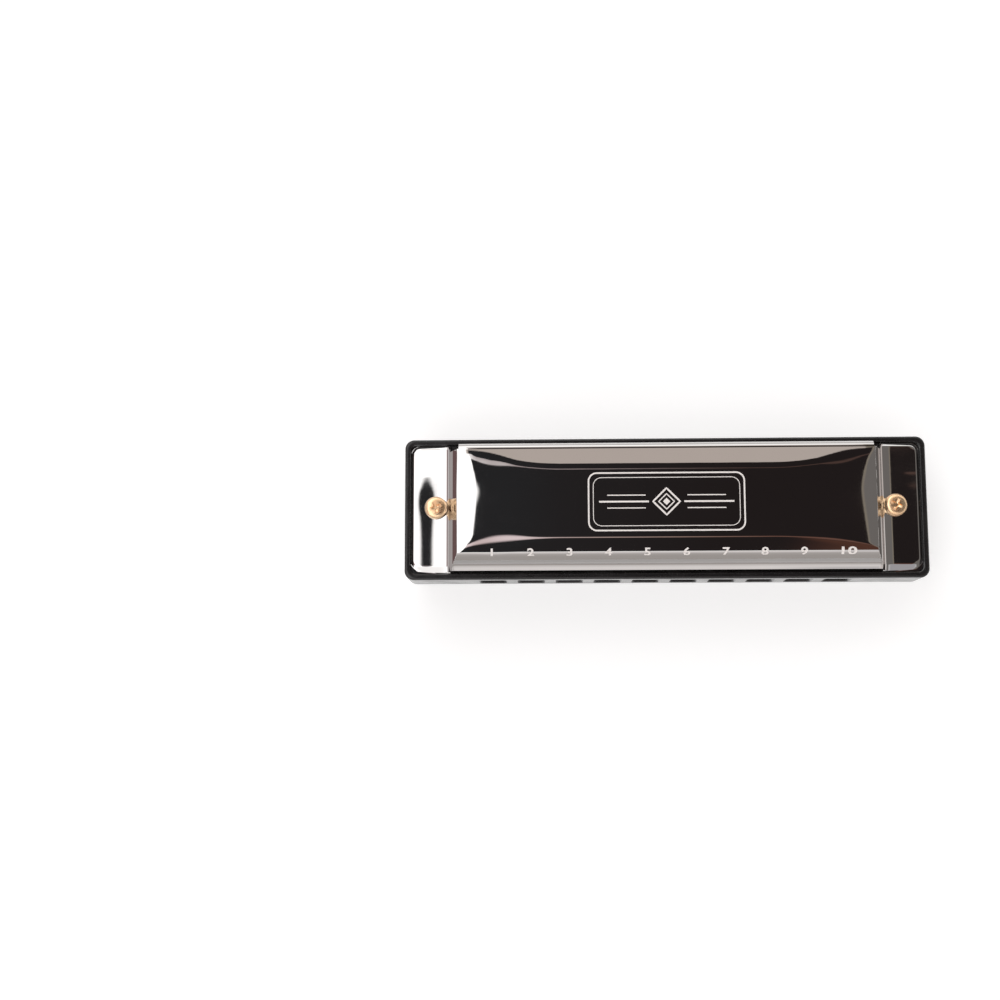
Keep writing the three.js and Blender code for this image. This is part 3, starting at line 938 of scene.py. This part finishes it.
def build_ornament():
    """A plain engraved panel: a double rounded frame, rules and lozenges."""
    middle_y = 0.6
    shapes = []
    for half_x, half_y, width in ((15.0, 5.6, 0.30), (14.1, 4.7, 0.14)):
        outline = rounded_rect(half_x, half_y, 1.6, 8)
        dense = []
        for one, two in zip(outline, outline[1:] + outline[:1]):
            pieces = max(1, int(math.dist(one, two) / 0.5))
            dense += between(one, two, pieces)
        shapes.append(line_strip(dense + dense[:1], width))
    for sign in (-1, 1):
        for offset, reach, width in ((0.0, 9.6, 0.34), (1.25, 7.4, 0.2), (-1.25, 7.4, 0.2)):
            start = 3.4 + abs(offset) * 0.5
            route = [(sign * (start + reach * k / 24), offset) for k in range(25)]
            shapes.append(line_strip(route, width))
    for size, width in ((2.6, 0.34), (1.5, 0.22)):
        corners = [(size, 0), (0, size), (-size, 0), (0, -size), (size, 0)]
        route = []
        for one, two in zip(corners, corners[1:]):
            route += between(one, two, 8)
        shapes.append(line_strip(route + route[:1], width))
    shapes.append(([(0.7, 0, 0), (0, 0.7, 0), (-0.7, 0, 0), (0, -0.7, 0)], [(0, 1, 2, 3)]))
    points, faces = join_shapes(shapes)
    placed = [(x, y + middle_y, float(cover_height(x, y + middle_y)) + ETCH_LIFT)
              for x, y, _ in points]
    ornament = new_object("etched_panel", placed, faces, ETCHED, 80, closed=False)
    finish_piece(ornament, "polished_steel")


# ------------------------------------------------------------------ carried-over plates


def dress_plates():
    for name in ("upper_reed_plate", "lower_reed_plate"):
        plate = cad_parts[name]
        plate.data.materials.clear()
        plate.data.materials.append(PLATE_BRASS)


# ------------------------------------------------------------------ studio


def build_floor():
    size = 6.0
    mesh = bpy.data.meshes.new("floor")
    corners = [(-size, -size, 0), (size, -size, 0), (size, size, 0), (-size, size, 0)]
    mesh.from_pydata(corners, [], [(0, 1, 2, 3)])
    floor = bpy.data.objects.new("floor", mesh)
    bpy.context.scene.collection.objects.link(floor)
    material, nodes, shader, coords = new_material("floor_paper_and_painted_glow")
    paper = nodes.noise(coords, 30, detail=4)
    nodes.put(shader.inputs["Base Color"], nodes.mix(paper, (0.60, 0.60, 0.60, 1), (0.63, 0.63, 0.63, 1)))
    shader.inputs["Roughness"].default_value = 0.9
    shader.inputs["Specular IOR Level"].default_value = 0.1
    # The floor also glows. This is a painted pool of light, full within 0.13 m of the middle and gone by
    # 0.5 m, which lifts the shade and shadow around the harmonica.
    distance = nodes.add("ShaderNodeVectorMath", operation="LENGTH")
    nodes.put(distance.inputs[0], coords)
    painted_glow = nodes.ramp(distance.outputs["Value"], 0.13, 0.5, 1.0, 0.0)
    nodes.put(shader.inputs["Emission Strength"], nodes.math("MULTIPLY", painted_glow, 0.55))
    shader.inputs["Emission Color"].default_value = (1, 1, 1, 1)
    mesh.materials.append(material)


def build_world():
    """A white tent with a dark opening overhead: brightness by direction alone."""
    world = bpy.data.worlds.new("light_tent")
    world.use_nodes = True
    bpy.context.scene.world = world
    nodes = Nodes(world.node_tree)
    ramp = nodes.ramp
    mix = nodes.mix
    every = nodes.product
    background = world.node_tree.nodes["Background"]
    direction = nodes.add("ShaderNodeTexCoord").outputs["Generated"]
    parts = nodes.add("ShaderNodeSeparateXYZ")
    nodes.put(parts.inputs[0], direction)
    right_part, back_part, height = parts.outputs[0], parts.outputs[1], parts.outputs[2]
    up = nodes.math("MAXIMUM", height, 0.02)
    side = nodes.math("DIVIDE", right_part, up)
    fore = nodes.math("DIVIDE", back_part, up)

    white = (1.5, 1.49, 1.48, 1)
    tent = mix(ramp(side, -0.4, 0.3), (2.0, 2.0, 2.0, 1), white)
    # Behind: a pale brown stretch next to the opening, and pale grey low down.
    near_back = every(ramp(fore, 0.30, 0.36), ramp(fore, 0.62, 0.9, 1, 0), ramp(side, -0.21, -0.17))
    tent = mix(near_back, tent, (0.66, 0.58, 0.53, 1))
    low_back = every(ramp(back_part, 0.35, 0.6), ramp(height, 0.55, 0.3))
    tent = mix(low_back, tent, (0.74, 0.72, 0.71, 1))
    # In front: white that turns grey towards the horizon.
    facing = ramp(back_part, -0.45, -0.6)
    front_tone = mix(ramp(height, 0.05, 0.26), (0.50, 0.47, 0.45, 1), (0.84, 0.80, 0.79, 1))
    front_tone = mix(ramp(height, 0.3, 0.62), front_tone, (1.02, 0.98, 0.97, 1))
    tent = mix(facing, tent, front_tone)
    # To the right: dark grey, with a lighter band along the horizon.
    slanted = nodes.math("ADD", fore, nodes.math("MULTIPLY", side, 0.6))
    right = every(ramp(side, 0.25, 0.28), ramp(height, 0.40, 0.52), ramp(fore, 1.2, 0.7),
                  ramp(slanted, -0.35, -0.2))
    edge_tone = mix(ramp(side, 0.332, 0.345), (0.31, 0.27, 0.22, 1), (0.21, 0.195, 0.185, 1))
    tent = mix(right, tent, edge_tone)
    front_right = every(ramp(side, 0.2, 0.28), ramp(slanted, -0.2, -0.35), ramp(fore, -1.3, -1.0))
    tent = mix(front_right, tent, (0.50, 0.485, 0.51, 1))
    low_right = every(ramp(right_part, 0.5, 0.7), ramp(height, 0.40, 0.32))
    tent = mix(low_right, tent, (0.82, 0.74, 0.71, 1))
    # To the left: pale grey low down, and a brown band half way up.
    low_left = every(ramp(right_part, -0.5, -0.6), ramp(height, 0.62, 0.5))
    tent = mix(low_left, tent, (0.78, 0.74, 0.74, 1))
    near_middle = ramp(nodes.math("ABSOLUTE", back_part), 0.42, 0.3)
    band = every(ramp(height, 0.52, 0.58), ramp(height, 0.83, 0.77), ramp(right_part, -0.48, -0.56),
                 near_middle)
    tent = mix(band, tent, (0.30, 0.19, 0.19, 1))

    # The opening, and the faint lines and the brown corner seen in it.
    dark = every(ramp(side, -0.152, -0.144), ramp(side, 0.3205, 0.3235, 1, 0),
                 ramp(fore, -0.47, -0.43), ramp(fore, 0.43, 0.445, 1, 0))
    hole = mix(ramp(side, -0.12, 0.15), (0.027, 0.027, 0.029, 1), (0.022, 0.017, 0.017, 1))
    front_line = every(ramp(fore, -0.09, -0.04), ramp(fore, 0.0, 0.04, 1, 0))
    line_tone = mix(ramp(side, -0.12, 0.10), (1.05, 0.88, 0.90, 1), (0.46, 0.32, 0.27, 1))
    line_tone = mix(ramp(side, 0.05, 0.15), line_tone, (0.20, 0.10, 0.075, 1))
    hole = mix(front_line, hole, line_tone)
    front_brown = every(ramp(side, 0.15, 0.22), ramp(fore, -0.04, -0.12))
    hole = mix(front_brown, hole, (0.12, 0.052, 0.036, 1))
    wedge = nodes.math("SUBTRACT", fore, ramp(side, -0.04, -0.12, 0.0, 0.12))
    back_line = every(ramp(fore, 0.18, 0.195), ramp(wedge, 0.20, 0.225, 1, 0))
    back_tone = mix(ramp(side, -0.15, -0.05), (1.3, 1.25, 1.25, 1), (0.48, 0.40, 0.40, 1))
    back_tone = mix(ramp(side, -0.02, 0.14), back_tone, (0.10, 0.06, 0.05, 1))
    hole = mix(back_line, hole, back_tone)
    nodes.put(background.inputs["Color"], mix(dark, tent, hole))
    background.inputs["Strength"].default_value = 1.0


def build_camera():
    """A long lens above the cover, a little towards the mouth side and to the left."""
    height_over_rim = 0.30944
    data = bpy.data.cameras.new("camera")
    data.lens = 57.37
    data.sensor_width = 36
    data.clip_start = 0.01
    camera = bpy.data.objects.new("camera", data)
    bpy.context.scene.collection.objects.link(camera)
    camera.location = (-0.02274, -0.04374, comb_high.z + height_over_rim)
    camera.rotation_euler = (math.radians(8.36), math.radians(1.78), math.radians(-0.12))
    bpy.context.scene.camera = camera


build_camera()
build_floor()
build_world()
build_comb()
build_covers()
build_reeds()
build_fasteners()
build_digits()
build_ornament()
dress_plates()
bpy.context.scene.view_settings.view_transform = "Standard"
